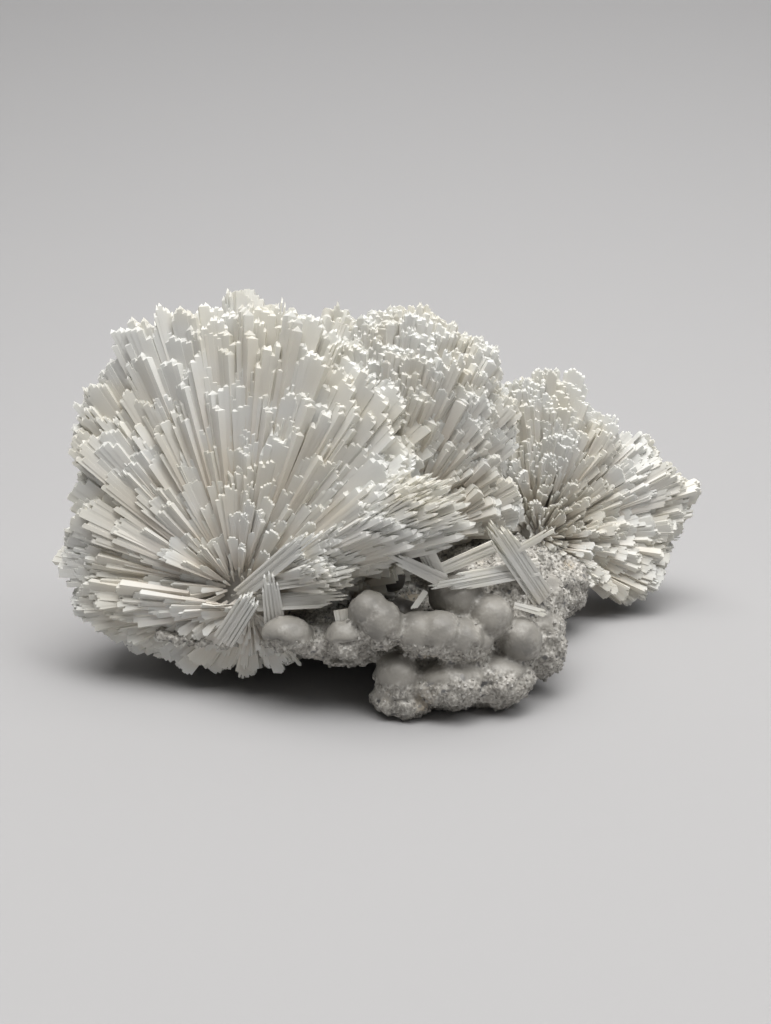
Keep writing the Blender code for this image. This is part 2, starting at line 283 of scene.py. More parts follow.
lumps = bmesh.new()
for centre, radii, roughness, seed in ROCK_LUMPS:
    rock_lump(lumps, centre, radii, roughness, seed)
rock = remeshed(object_from("rock", lumps), ROCK_VOXEL)
hollow_mesh = bmesh.new()
rock_lump(hollow_mesh, VUG_CENTRE, VUG_RADII, VUG_ROUGHNESS, VUG_SEED)
hollow = object_from("hollow", hollow_mesh)
carve = rock.modifiers.new("Vug", "BOOLEAN")
carve.operation, carve.object, carve.solver = "DIFFERENCE", hollow, "EXACT"
carved = evaluated_copy(rock)
rock.modifiers.remove(carve)
bpy.data.objects.remove(hollow)
joined = bmesh.new()
joined.from_mesh(carved)
for centre, radius, stretch, _ in GRAPES:
    made = bmesh.ops.create_icosphere(joined, subdivisions=4, radius=1)
    for vert in made["verts"]:
        direction = vert.co.normalized()
        wobble = 1 + GRAPE_DENT_DEPTH * noise.noise(direction * GRAPE_DENTS + Vector((radius, 0, 0)))
        from_crease = abs(noise.noise(direction * CREASES + Vector((0, radius, 0))))
        wobble += GRAPE_SWELL - CREASE_DEPTH * max(0, CREASE_WIDTH - from_crease)
        offset = Vector([direction[i] * radius * stretch[i] * wobble for i in range(3)])
        vert.co = (Vector(centre) + offset) * MM + TO_ORIGIN
joined.to_mesh(rock.data)
joined.free()
rock.data.name = "rock"
remeshed(rock, ROCK_VOXEL)

points = np.empty(len(rock.data.vertices) * 3, np.float32)
rock.data.vertices.foreach_get("co", points)
points = points.reshape(-1, 3).astype(float)
normals = np.array([v.normal for v in rock.data.vertices])
origin = np.array(TO_ORIGIN)
# 1 on the smooth skin of the grapes, 0 on broken rock
smoothness = np.zeros(len(points))
raggedness = np.array([noise.noise(Vector(p) * RAGGED_NOISE) * RAGGED_DEPTH for p in points])
for centre, radius, stretch, broken_below in GRAPES:
    away = ((points - origin) / MM - np.array(centre)) / (radius * np.array(stretch))
    on_skin = np.clip((SKIN_REACH - np.linalg.norm(away, axis=1)) / SKIN_FADE, 0, 1)
    unbroken = np.clip((away[:, 2] + raggedness - broken_below) / BREAK_FADE, 0, 1)
    smoothness = np.maximum(smoothness, on_skin * unbroken)
# 1 in the depth of the vug, whose lining is smooth and painted dark as shade
from_vug = ((points - origin) / MM - np.array(VUG_CENTRE)) / (np.array(VUG_RADII) * LINING_AND_SHADE_REACH)
depth_in_vug = np.clip(((points - origin)[:, 1] / MM - LINING_AND_SHADE_FRONT_MM) / LINING_AND_SHADE_FADE_MM, 0, 1)
smooth_vug_and_painted_shade = depth_in_vug * np.clip((1 - np.linalg.norm(from_vug, axis=1)) / LINING_AND_SHADE_FADE, 0, 1)
smoothness = np.maximum(smoothness, smooth_vug_and_painted_shade)


def broken_height(place):
    """How far broken rock stands out at a place, as a share of its full depth."""
    coarse = noise.fractal(place * COARSE_BUMPS, BUMP_FALLOFF, BUMP_LACUNARITY, 2)
    fine = noise.fractal(place * FINE_BUMPS, BUMP_FALLOFF, BUMP_LACUNARITY, 3)
    crack = abs(noise.noise(place * CRACKS))
    return coarse + fine * FINE_SHARE - crack * CRACK_DEPTH


rough_height = np.array([broken_height(Vector(p)) for p in points])
height = rough_height * (1 - smoothness) * ROUGH_DEPTH_MM * MM
moved = points + normals * height[:, None]
moved[:, 2] = np.maximum(moved[:, 2], 0)
rock.data.vertices.foreach_set("co", moved.astype(np.float32).ravel())
# The vug's mask keeps its lining smooth, and goes to the material as the vug's painted shade.
for name, values in (("smooth_crust", smoothness), ("vug_lining", smooth_vug_and_painted_shade)):
    attribute = rock.data.attributes.new(name, "FLOAT", "POINT")
    attribute.data.foreach_set("value", values.astype(np.float32))
rock.data.update()
for polygon in rock.data.polygons:
    polygon.use_smooth = True

# Chalcedony-like crust: grey with a waxy gloss. Broken parts are whiter, and speckled with dark host rock and
# rust. The depth of the vug is painted dark, as shade.
rock_material, tree = new_material("botryoidal_crust")
place = put(tree, "ShaderNodeTexCoord").outputs["Object"]
crust = put(tree, "ShaderNodeAttribute", attribute_name="smooth_crust").outputs["Fac"]
# A noise of scale 160 has zones about 6 mm across, and one of 1400 grains about 0.7 mm.
mottle = put(tree, "ShaderNodeTexNoise", {"Vector": place, "Scale": 160.0, "Detail": 1.0}).outputs["Fac"]
grain = put(tree, "ShaderNodeTexNoise", {"Vector": place, "Scale": 1400.0, "Detail": 1.0}).outputs["Fac"]
specks = put(tree, "ShaderNodeTexNoise", {"Vector": place, "Scale": 420.0, "Detail": 1.0}).outputs["Fac"]
rust = put(tree, "ShaderNodeTexNoise", {"Vector": place, "Scale": 75.0, "Detail": 1.0}).outputs["Fac"]


def ramp(source, stops):
    """A colour ramp over a value, from (position, hex) stops."""
    node = put(tree, "ShaderNodeValToRGB", {"Fac": source})
    elements = node.color_ramp.elements
    while len(elements) < len(stops):
        elements.new(0.5)
    for element, (position, hex_colour) in zip(elements, stops):
        element.position, element.color = position, (*linear(hex_colour), 1)
    return node.outputs["Color"]


def blend(factor, first, second, kind="MIX"):
    """Two colours mixed by a factor. The sockets 0, 6 and 7 are the node's factor and its two colours."""
    node = put(tree, "ShaderNodeMix", data_type="RGBA", blend_type=kind)
    for socket, value in zip((node.inputs[0], node.inputs[6], node.inputs[7]), (factor, first, second)):
        if isinstance(value, bpy.types.NodeSocket):
            tree.links.new(value, socket)
        else:
            socket.default_value = value
    return node.outputs[2]


grape_colour = ramp(mottle, [(0.3, "827F79"), (0.7, "9E9A92")])
broken_colour = ramp(grain, [(0.3, "8C8881"), (0.5, "ADA9A1"), (0.72, "D2CFC8")])
rusty = ramp(rust, [(0.66, "000000"), (0.8, "FFFFFF")])
broken_colour = blend(rusty, broken_colour, (*linear("B3A48C"), 1))
speckled = ramp(specks, [(0.64, "000000"), (0.72, "FFFFFF")])
broken_colour = blend(speckled, broken_colour, (*linear("6E6D6C"), 1))
colour = blend(crust, broken_colour, grape_colour)
# Painted shade: the depth of the vug is darkened to a dark grey-brown, standing in for the shade in the
# hollow.
painted_vug_shade_mask = put(tree, "ShaderNodeAttribute", attribute_name="vug_lining").outputs["Fac"]
colour = blend(painted_vug_shade_mask, colour, (*linear("4A4743"), 1))
gloss = put(tree, "ShaderNodeMapRange", {"Value": grain, "To Min": 0.38, "To Max": 0.62}).outputs["Result"]
bump = put(tree, "ShaderNodeBump", {"Height": grain, "Strength": 0.35, "Distance": 0.25 * MM})
shader = put(
    tree,
    "ShaderNodeBsdfPrincipled",
    {
        "Base Color": colour,
        "Roughness": gloss,
        "IOR": 1.54,
        "Normal": bump.outputs[0],
    },
)
put(tree, "ShaderNodeOutputMaterial", {"Surface": shader.outputs[0]})
rock.data.materials.append(rock_material)
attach(rock, "root")
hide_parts("matrix")


# The crystal blades
# Milky calcite in flat prisms, grown side by side in bundles. Each bundle ends in steps where its strands
# stop short. The flats are satin and ribbed along their length. The tips are whiter, and the colour turns
# cream and darker towards the roots: the calcite's own cream, with painted shade of the spray's depths.
CRYSTAL_IOR = 1.56
# How much of the finish lets light through, and how much cloudy zones and single strands differ in colour
LIGHT_THROUGH = 0.3
CLOUD_STRENGTH = 0.3
TONE_STRENGTH = 0.12
# Half a strand's width as a share of its place in the row: over 0.5, so that strands overlap
STRAND_HALF_WIDTH = 0.62
# How much a chisel's edge slants, for its height, and a point lies off the middle, for its width
EDGE_SLANT = 0.4
POINT_SHIFT = 0.3
# How tall strands' points are, as a share of their usual height, and how rare very short strands are
POINT_SPREAD = (0.7, 1.6)
SHORT_RARITY = 1.3


class Bundle:
    """Strands side by side, standing on the origin, 1 long and 1 wide."""

    def __init__(self, seed):
        self.rng = random.Random(seed)
        self.mesh_data = bmesh.new()
        self.tone = self.mesh_data.verts.layers.float.new("strand_shade")
        self.along = self.mesh_data.verts.layers.float.new("along")

    def strand(self, x, y, half_width, half_depth, twist, taper, top, point, edge):
        """One prism. It ends in a chisel whose edge is that share of its width, or a point where it is 0."""
        data, tone = self.mesh_data, self.rng.random()
        cosine, sine = math.cos(twist), math.sin(twist)

        def at(u, v, share, height):
            place = (x + u * cosine - v * sine, y + u * sine + v * cosine)
            return data.verts.new((place[0] * share, place[1] * share, height))

        corners = ((-1, -1), (1, -1), (1, 1), (-1, 1))
        foot = [at(a * half_width, b * half_depth, taper, 0) for a, b in corners]
        knee = [at(a * half_width, b * half_depth, 1, top - point) for a, b in corners]
        data.faces.new(foot[::-1])
        for i in range(4):
            j = (i + 1) % 4
            data.faces.new((foot[i], foot[j], knee[j], knee[i]))
        if edge:
            slant = self.rng.uniform(-EDGE_SLANT, EDGE_SLANT) * point
            tip = [at(side * edge * half_width, 0, 1, top + side * slant) for side in (-1, 1)]
            data.faces.new((knee[0], knee[1], tip[1], tip[0]))
            data.faces.new((knee[1], knee[2], tip[1]))
            data.faces.new((knee[2], knee[3], tip[0], tip[1]))
            data.faces.new((knee[3], knee[0], tip[0]))
        else:
            tip = [at(self.rng.uniform(-POINT_SHIFT, POINT_SHIFT) * half_width, 0, 1, top)]
            for i in range(4):
                data.faces.new((knee[i], knee[(i + 1) % 4], tip[0]))
        for vert in foot + knee + tip:
            vert[self.tone], vert[self.along] = tone, vert.co.z

    def object(self, name):
        """The bundle as an object that the scene doesn't show."""
        obj = object_from(name, self.mesh_data)
        bpy.context.scene.collection.objects.unlink(obj)
        return obj


def plate(seed, strands, flat, ragged, taper, point, lobe=0.05, edges=(0.0, 0.45, 0.7), relief=0.05):
    """Strands in a row, as one flat blade with ribs of some relief. Its serrated end is rounded by lobe."""
    made = Bundle(seed)
    rng = made.rng
    for index in range(strands):
        across = (index + 0.5) / strands - 0.5
        made.strand(
            x=across,
            y=rng.uniform(-relief, relief) * flat,
            half_width=STRAND_HALF_WIDTH / strands,
            half_depth=flat / 2 * rng.uniform(1 - 2 * relief, 1 + relief),
            twist=rng.uniform(-relief, relief),
            taper=taper,
            top=1 - ragged * rng.random() ** SHORT_RARITY - lobe * (2 * across) ** 2,
            point=point * rng.uniform(*POINT_SPREAD),
            edge=rng.choice(edges),
        )
    return made


def choice(name, made):
    """A collection of bundles to pick from, which isn't shown itself."""
    group = bpy.data.collections.new(name)
    for index, bundle in enumerate(made):
        group.objects.link(bundle.object(f"{name}_{index}"))
    return group


def milky(colour, roughness):
    """Ends the material in hand as a satin surface that lets some of the light through."""
    solid = put(
        tree, "ShaderNodeBsdfPrincipled", {"Base Color": colour, "Roughness": roughness, "IOR": CRYSTAL_IOR}
    )
    through = put(tree, "ShaderNodeBsdfTranslucent", {"Color": colour})
    mixed = put(tree, "ShaderNodeMixShader", {0: LIGHT_THROUGH, 1: solid.outputs[0], 2: through.outputs[0]})
    put(tree, "ShaderNodeOutputMaterial", {"Surface": mixed.outputs[0]})


crystal, tree = new_material("milky_calcite")
along = put(tree, "ShaderNodeAttribute", attribute_name="along").outputs["Fac"]
tone = put(tree, "ShaderNodeAttribute", attribute_name="strand_shade").outputs["Fac"]
place = put(tree, "ShaderNodeTexCoord").outputs["Object"]
# cloudy zones about 12 mm across
cloud = put(tree, "ShaderNodeTexNoise", {"Vector": place, "Scale": 80.0, "Detail": 1.0}).outputs["Fac"]
# Partly painted shade: darker and warmer towards the roots, deep in the spray, over the calcite's own cream.
colour = ramp(along, [(0.0, "D0C9BF"), (0.25, "E9E3D9"), (0.6, "F4F1EA"), (0.92, "F7F7F3")])
cloudy = ramp(cloud, [(0.38, "F5EDDA"), (0.6, "FCFCFD")])
colour = blend(CLOUD_STRENGTH, colour, cloudy, "MULTIPLY")
toned = ramp(tone, [(0.0, "E6E2D9"), (1.0, "FFFFFF")])
colour = blend(TONE_STRENGTH, colour, toned, "MULTIPLY")
milky(colour, 0.5)


# The tree that grows a spray
# Points are spread over a growth surface, and one bundle runs to each from near the focus. Bundles of one
# cell lean out from their own small focus, as florets, and those at a cell's edge stop short.
# Points to a square metre before the spacing thins them, so many that the spacing alone decides
DENSEST = 3.0e6
# How rare very short bundles are, and how much bundles differ in girth
SHORT_BUNDLE_RARITY = 3.0
THINNEST = 0.6
THICKEST = 1.5
INPUTS = [
    ("Focus", "NodeSocketVector"),
    ("Spacing", "NodeSocketFloat"),
    ("Girth", "NodeSocketFloat"),
    ("Full girth at", "NodeSocketFloat"),
    ("Root share", "NodeSocketFloat"),
    ("Short share", "NodeSocketFloat"),
    ("Facing", "NodeSocketVector"),
    ("Facing jitter", "NodeSocketFloat"),
    ("Floret size", "NodeSocketFloat"),
    ("Floret lean", "NodeSocketFloat"),
    ("Floret drop", "NodeSocketFloat"),
    ("Seed", "NodeSocketInt"),
    ("Bundles", "NodeSocketCollection"),
    ("Finish", "NodeSocketMaterial"),
]
grow = bpy.data.node_groups.new("grow_spray", "GeometryNodeTree")
grow.interface.new_socket("Growth surface", in_out="INPUT", socket_type="NodeSocketGeometry")
for name, kind in INPUTS:
    grow.interface.new_socket(name, in_out="INPUT", socket_type=kind)
grow.interface.new_socket("Spray", in_out="OUTPUT", socket_type="NodeSocketGeometry")
given = put(grow, "NodeGroupInput").outputs


def vector_math(kind, first, second):
    """The vector that two vectors make."""
    return put(grow, "ShaderNodeVectorMath", {0: first, 1: second}, operation=kind).outputs["Vector"]


def scaled(vector, factor):
    """A vector times a number."""
    return put(grow, "ShaderNodeVectorMath", {0: vector, 3: factor}, operation="SCALE").outputs["Vector"]


def number(kind, first, second):
    """The number that two numbers make."""
    return put(grow, "ShaderNodeMath", {0: first, 1: second}, operation=kind).outputs[0]


def chance(low, high, salt):
    """A random number for each point, steady for the tree's seed."""
    seed = number("ADD", given["Seed"], float(salt))
    node = put(grow, "FunctionNodeRandomValue", {2: low, 3: high, "Seed": seed}, data_type="FLOAT")
    return node.outputs[1]


def stored(nodes, name, kind):
    """What is stored on the points or the mesh under a name."""
    return put(nodes, "GeometryNodeInputNamedAttribute", {"Name": name}, data_type=kind).outputs[0]


spread = put(
    grow,
    "GeometryNodeDistributePointsOnFaces",
    {
        "Mesh": given["Growth surface"],
        "Distance Min": given["Spacing"],
        "Density Max": DENSEST,
        "Seed": given["Seed"],
    },
    distribute_method="POISSON",
)
here = put(grow, "GeometryNodeInputPosition").outputs[0]
cell_scale = number("DIVIDE", 1.0, given["Floret size"])
cell = put(grow, "ShaderNodeTexVoronoi", {"Vector": here, "Scale": cell_scale, "Randomness": 1.0})
# The small focus lies between the spray's focus and the middle of the floret.
to_cell = vector_math("SUBTRACT", cell.outputs["Position"], given["Focus"])
lean = scaled(to_cell, given["Floret lean"])
small_focus = vector_math("ADD", given["Focus"], lean)
run = vector_math("SUBTRACT", here, small_focus)
full = put(grow, "ShaderNodeVectorMath", {0: run}, operation="LENGTH").outputs["Value"]
heading = put(grow, "ShaderNodeVectorMath", {0: run}, operation="NORMALIZE").outputs[0]
drop = number("MULTIPLY", cell.outputs["Distance"], given["Floret drop"])
shortness = number("POWER", chance(0.0, 1.0, 1), SHORT_BUNDLE_RARITY)
short = number("MULTIPLY", shortness, given["Short share"])
share = number("SUBTRACT", number("SUBTRACT", 1.0, short), drop)
length = number("MULTIPLY", full, share)
root = number("MULTIPLY", full, given["Root share"])
away = scaled(heading, root)
start = vector_math("ADD", small_focus, away)
body = number("SUBTRACT", length, root)
wild = put(
    grow,
    "FunctionNodeRandomValue",
    {0: (-1, -1, -1), 1: (1, 1, 1), "Seed": number("ADD", given["Seed"], 2.0)},
    data_type="FLOAT_VECTOR",
).outputs[0]
wild = scaled(wild, given["Facing jitter"])
facing = vector_math("ADD", given["Facing"], wild)
turned = put(
    grow,
    "FunctionNodeAxesToRotation",
    {0: heading, 1: facing},
    primary_axis="Z",
    secondary_axis="Y",
).outputs[0]
slimness = number("MINIMUM", number("DIVIDE", full, given["Full girth at"]), 1.0)
girth = number("MULTIPLY", given["Girth"], slimness)
girth = number("MULTIPLY", girth, chance(THINNEST, THICKEST, 3))
size = put(grow, "ShaderNodeCombineXYZ", {0: girth, 1: girth, 2: body}).outputs[0]
# Everything that depends on where a point lies is kept on it, before the points move to the blades' roots.
kept = spread.outputs["Points"]
for name, kind, value in (
    ("turned", "QUATERNION", turned),
    ("size", "FLOAT_VECTOR", size),
    ("start", "FLOAT_VECTOR", start),
):
    kept = put(
        grow,
        "GeometryNodeStoreNamedAttribute",
        {"Geometry": kept, "Name": name, "Value": value},
        data_type=kind,
        domain="POINT",
    ).outputs[0]
root_place = stored(grow, "start", "FLOAT_VECTOR")
placed = put(grow, "GeometryNodeSetPosition", {"Geometry": kept, "Position": root_place}).outputs[0]
choices = put(
    grow,
    "GeometryNodeCollectionInfo",
    {"Collection": given["Bundles"], "Separate Children": True, "Reset Children": True},
).outputs[0]
blades = put(
    grow,
    "GeometryNodeInstanceOnPoints",
    {
        "Points": placed,
        "Instance": choices,
        "Pick Instance": True,
        "Rotation": stored(grow, "turned", "QUATERNION"),
        "Scale": stored(grow, "size", "FLOAT_VECTOR"),
    },
).outputs[0]
real = put(grow, "GeometryNodeRealizeInstances", {"Geometry": blades}).outputs[0]
finished = put(grow, "GeometryNodeSetMaterial", {"Geometry": real, "Material": given["Finish"]}).outputs[0]
put(grow, "NodeGroupOutput", {0: finished})


# Each spray's growth
# A crystal starts at its spray's focus and stops at the growth surface, the far side of one or more
# ellipsoids given by their centres and radii.
CLEAR_OF_TABLE = 4.0 * MM
# How fine the noise is that makes a growth surface and a broken face uneven
UNEVEN_NOISE = 6.0
LEDGE_NOISE = 5.0
# A heart loses this share of what stands in front of its focus, and is set back by this much.
HEART_FLATTENING = 0.97
HEART_SET_BACK_MM = 1.2
# What a heart has for the height along a strand, and for a strand's tone
HEART_ALONG = 0.45
HEART_TONE = 0.5
LEFT_FOCUS = Vector((-34, -20, 25)) * MM + TO_ORIGIN
LEFT_GROWTH = [
    (Vector((-31, 0, 50)) * MM + TO_ORIGIN, Vector((46, 38, 42.5)) * MM),
    (Vector((-46, -4, 27)) * MM + TO_ORIGIN, Vector((35, 26, 23)) * MM),
    # the upper left shoulder, and the bulge below it
    (Vector((-42, -4, 66)) * MM + TO_ORIGIN, Vector((27, 26, 26.5)) * MM),
    (Vector((-62, -8, 44)) * MM + TO_ORIGIN, Vector((14, 20, 13)) * MM),
]
# The wing, which reaches over the vug
WING_GROWTH = [
    (Vector((8, -29.5, 48)) * MM + TO_ORIGIN, Vector((13, 9, 8.5)) * MM),
    (Vector((-13, -31, 35)) * MM + TO_ORIGIN, Vector((7, 5, 6)) * MM),
]
FAN_NORMAL = Vector((-0.25, -1.0, 0.22)).normalized()
CREST_FOCUS = Vector((-3, -10, 30)) * MM + TO_ORIGIN
CREST_GROWTH = [
    (Vector((3, 5, 58)) * MM + TO_ORIGIN, Vector((28, 25, 31.5)) * MM),
    # the lobe that closes the side towards the right spray
    (Vector((15, -3, 42)) * MM + TO_ORIGIN, Vector((17, 14, 14)) * MM),
]
CREST_NORMAL = Vector((0.1, -1.0, 0.0)).normalized()
RIGHT_FOCUS = Vector((43, 33, 22)) * MM + TO_ORIGIN
RIGHT_GROWTH = [
    (Vector((46, 35, 43)) * MM + TO_ORIGIN, Vector((21, 22, 28)) * MM),
    (Vector((66, 38, 28)) * MM + TO_ORIGIN, Vector((23.5, 24, 26)) * MM),
]
MEETING_POINT = Vector((29, 19, 45)) * MM + TO_ORIGIN
MEETING_NORMAL = Vector((0.85, 0.52, -0.05)).normalized()


def past_meeting(place):
    """How far a place lies past the plane where the right spray meets the others, on its own side."""
    return (place - MEETING_POINT).dot(MEETING_NORMAL)


def reach(focus, direction, growth):
    """How far a crystal grows from the focus: to the far side of the farthest ellipsoid in its way."""
    farthest = 0.0
    for centre, radii in growth:
        begin = Vector(((focus - centre)[i] / radii[i] for i in range(3)))
        step = Vector((direction[i] / radii[i] for i in range(3)))
        a, b, c = step.dot(step), begin.dot(step), begin.dot(begin) - 1
        inside = b * b - a * c
        if inside > 0:
            farthest = max(farthest, (-b + math.sqrt(inside)) / a)
    if direction.z < 0:
        farthest = min(farthest, (CLEAR_OF_TABLE - focus.z) / direction.z)
    return farthest


def growth_surface(name, focus, growth, wanted, scale, unevenness, face=None):
    """The part of the growth surface whose directions are wanted, as a mesh to spread points on.

    A face (its normal, depth and unevenness) is where the spray broke open, just in front of its focus.
    """
    mesh_data = bmesh.new()
    bmesh.ops.create_icosphere(mesh_data, subdivisions=6 if face else 5, radius=1)
    headings = {vert: vert.co.normalized() for vert in mesh_data.verts}
    for vert, direction in headings.items():
        dent = noise.noise(direction * UNEVEN_NOISE + Vector((scale * 9, 0, 0)))
        share = scale * (1 + unevenness * dent)
        length = reach(focus, direction, growth) * share
        if face:
            normal, depth, ledges = face
            lean = direction.dot(normal)
            if lean > 0:
                ledge = noise.noise(direction * LEDGE_NOISE)
                length = min(length, depth * (1 + ledges * ledge) / lean)
        vert.co = focus + direction * length
    unwanted = [
        face_
        for face_ in mesh_data.faces
        if not all(wanted(headings[vert], vert.co) for vert in face_.verts)
    ]
    bmesh.ops.delete(mesh_data, geom=unwanted, context="FACES")
    return object_from(name, mesh_data)


def grown(surface, **sizes):
    """Runs the tree on a growth surface, and leaves its crystals as a plain mesh."""
    modifier = surface.modifiers.new("Grow", "NODES")
    modifier.node_group = grow
    sizes["Finish"] = crystal
    for item in grow.interface.items_tree:
        key = item.name.replace(" ", "_")
        if item.in_out == "INPUT" and key in sizes:
            modifier[item.identifier] = sizes[key]
    mesh = evaluated_copy(surface)
    surface.modifiers.remove(modifier)
    for spare in ("turned", "size", "start"):
        if spare in mesh.attributes:
            mesh.attributes.remove(mesh.attributes[spare])
    surface.data = mesh
    mesh.name = surface.name
    return surface


def core(name, focus, growth, share, open_normal):
    """The grown-together heart of a spray, flat in front, which closes the gaps between its crystals."""
    mesh_data = bmesh.new()
    rise = mesh_data.verts.layers.float.new("along")
    shade = mesh_data.verts.layers.float.new("strand_shade")
    bmesh.ops.create_icosphere(mesh_data, subdivisions=4, radius=1)
    for vert in mesh_data.verts:
        direction = vert.co.normalized()
        offset = direction * reach(focus, direction, growth) * share
        ahead = offset.dot(open_normal)
        if ahead > 0:
            offset -= open_normal * ahead * HEART_FLATTENING
        offset -= open_normal * HEART_SET_BACK_MM * MM
        vert.co = focus + offset
        vert[rise], vert[shade] = HEART_ALONG, HEART_TONE
    return object_from(name, mesh_data, crystal)


crest_sticks = choice(
    "crest_stick",
    [
        plate(
            1 + i, strands, flat=0.45, ragged=0.13, taper=0.62, point=0.03, lobe=0.08, edges=(0.0, 0.3, 0.6)
        )
        for i, strands in enumerate((7, 6, 8, 6, 8))
    ],
)
blocky_sticks = choice(
    "blocky_stick",
    [
        plate(31 + i, strands, flat=0.5, ragged=0.09, taper=0.6, point=0.02, lobe=0.06)
        for i, strands in enumerate((5, 6, 4, 7, 5))
    ],
)
fan_plates = choice(
    "fan_plate",
    [
        plate(11 + i, strands, flat, ragged, taper=0.44, point=0.02, lobe=0.09)
        for i, (strands, flat, ragged) in enumerate(
            ((8, 0.3, 0.1), (7, 0.28, 0.07), (9, 0.34, 0.12), (5, 0.3, 0.05), (8, 0.3, 0.1), (6, 0.26, 0.05))
        )
    ],
)
wing_plates = choice(
    "wing_plate",
    [
        plate(61 + i, strands, flat=0.3, ragged=0.16, taper=0.2, point=0.03, lobe=0.1, edges=(0.0, 0.4))
        for i, strands in enumerate((9, 7, 11, 8))
    ],
)


def ride_for(piece, *nodes):
    """A piece of crystal, shown for the solids of those names."""
    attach(piece, "root")
    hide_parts(*nodes)
    return piece


# The left spray's dome, whose tips face up, back and to the left
left_dome = growth_surface(
    "left_dome",
    LEFT_FOCUS,
    LEFT_GROWTH,
    lambda heading_, place_: heading_.z > -0.5
    and heading_.dot(FAN_NORMAL) < -0.08
    and past_meeting(place_) < -3 * MM,
    scale=1.05,
    unevenness=0.1,
)
grown(
    left_dome,
    Focus=LEFT_FOCUS,
    Spacing=3.0 * MM,
    Girth=5.2 * MM,
    Full_girth_at=20 * MM,
    Root_share=0.42,
    Short_share=0.12,
    Facing=FAN_NORMAL,
    Facing_jitter=0.9,
    Floret_size=17 * MM,
    Floret_lean=0.4,
    Floret_drop=0.25,
    Seed=3,
    Bundles=blocky_sticks,
)
ride_for(left_dome, "main_spray")
ride_for(core("left_heart", LEFT_FOCUS, LEFT_GROWTH, 0.83, FAN_NORMAL), "main_spray")

# The open fan, where the spray broke: its blades show from the focus to their ends
fan = growth_surface(
    "fan",
    LEFT_FOCUS,
    LEFT_GROWTH,
    lambda heading_, place_: heading_.z > (-0.7 if heading_.x < 0 else -0.1)
    and -0.14 < heading_.dot(FAN_NORMAL) < 0.6,
    scale=1.05,
    unevenness=0.1,
    face=(FAN_NORMAL, 4.0 * MM, 0.9),
)
grown(
    fan,
    Focus=LEFT_FOCUS,
    Spacing=3.5 * MM,
    Girth=5.8 * MM,
    Full_girth_at=42 * MM,
    Root_share=0.3,
    Short_share=0.3,
    Facing=FAN_NORMAL,
    Facing_jitter=0.55,
    Floret_size=20 * MM,
    Floret_lean=0.08,
    Floret_drop=0.1,
    Seed=5,
    Bundles=fan_plates,
)
ride_for(fan, "main_spray")

# A few broad, smooth blades that stand in front of the rest, each broken off part of the way. They are spread
# over part of a turn from the right, lean out of the fan's plane, and have lengths and widths in millimetres.
FRONT_BLADES = 14
FRONT_FIRST_DEG = 22
FRONT_SWEEP_DEG = 140
FRONT_JITTER = 0.35
FRONT_LEANS_DEG = (4, 8)
FRONT_LENGTHS_MM = (26, 46)
FRONT_START_MM = 4
FRONT_WIDTHS_MM = (2.6, 4.4)
FRONT_ROOT_SHARE = 0.3
front_rng = random.Random(4)
across = Vector((1, 0, 0))
across = (across - FAN_NORMAL * across.dot(FAN_NORMAL)).normalized()
upward = FAN_NORMAL.cross(across)
upward = upward if upward.z > 0 else -upward
front_blades = []
for index in range(FRONT_BLADES):
    place_in_row = index + front_rng.uniform(-FRONT_JITTER, FRONT_JITTER)
    turn = math.radians(FRONT_FIRST_DEG + FRONT_SWEEP_DEG * place_in_row / (FRONT_BLADES - 1))
    lean = math.radians(front_rng.uniform(*FRONT_LEANS_DEG))
    in_plane = across * math.cos(turn) + upward * math.sin(turn)
    heading = in_plane * math.cos(lean) + FAN_NORMAL * math.sin(lean)
    tip = LEFT_FOCUS + heading * front_rng.uniform(*FRONT_LENGTHS_MM) * MM
    root = LEFT_FOCUS + heading * FRONT_START_MM * MM
    width = front_rng.uniform(*FRONT_WIDTHS_MM)
    front_blades.append(((root - TO_ORIGIN) / MM, (tip - TO_ORIGIN) / MM, width, FRONT_ROOT_SHARE))
# one thin prism that stands clear of the top, between the fan and the crest
front_blades.append(((-11, 0, 74), (-11.3, 0, 90.5), 2.0, 1.0))

# The wing, fine blades of the same fan that reach right, over the vug
wing = growth_surface(
    "wing",
    LEFT_FOCUS,
    WING_GROWTH,
    lambda heading_, place_: (place_ - LEFT_FOCUS).length > 15 * MM,
    scale=1.04,
    unevenness=0.2,
)
grown(
    wing,
    Focus=LEFT_FOCUS,
    Spacing=2.1 * MM,
    Girth=4.2 * MM,
    Full_girth_at=30 * MM,
    Root_share=0.1,
    Short_share=0.5,
    Facing=FAN_NORMAL,
    Facing_jitter=0.4,
    Floret_size=14 * MM,
    Floret_lean=0.15,
    Floret_drop=0.08,
    Seed=15,
    Bundles=wing_plates,
)
ride_for(wing, "main_spray")

# The skirt, blades that broke off at the lower left, down to just above the table
SKIRT_FOCUS = Vector((-31, -25, 23)) * MM + TO_ORIGIN
SKIRT_GROWTH = [(Vector((-43, -17, 20)) * MM + TO_ORIGIN, Vector((37, 17, 18)) * MM)]
SKIRT_NORMAL = Vector((-0.3, -1.0, -0.2)).normalized()
skirt = growth_surface(
    "skirt",
    SKIRT_FOCUS,
    SKIRT_GROWTH,
    lambda heading_, place_: heading_.z < 0.05 - 0.6 * max(0, heading_.x)
    and -0.3 < heading_.dot(SKIRT_NORMAL) < 0.7,
    scale=1.0,
    unevenness=0.2,
    face=(SKIRT_NORMAL, 3.0 * MM, 0.9),
)
grown(
    skirt,
    Focus=SKIRT_FOCUS,
    Spacing=2.4 * MM,
    Girth=4.2 * MM,
    Full_girth_at=30 * MM,
    Root_share=0.3,
    Short_share=0.25,
    Facing=SKIRT_NORMAL,
    Facing_jitter=0.6,
    Floret_size=16 * MM,
    Floret_lean=0.1,
    Floret_drop=0.1,
    Seed=14,
    Bundles=fan_plates,
)
ride_for(skirt, "main_spray")

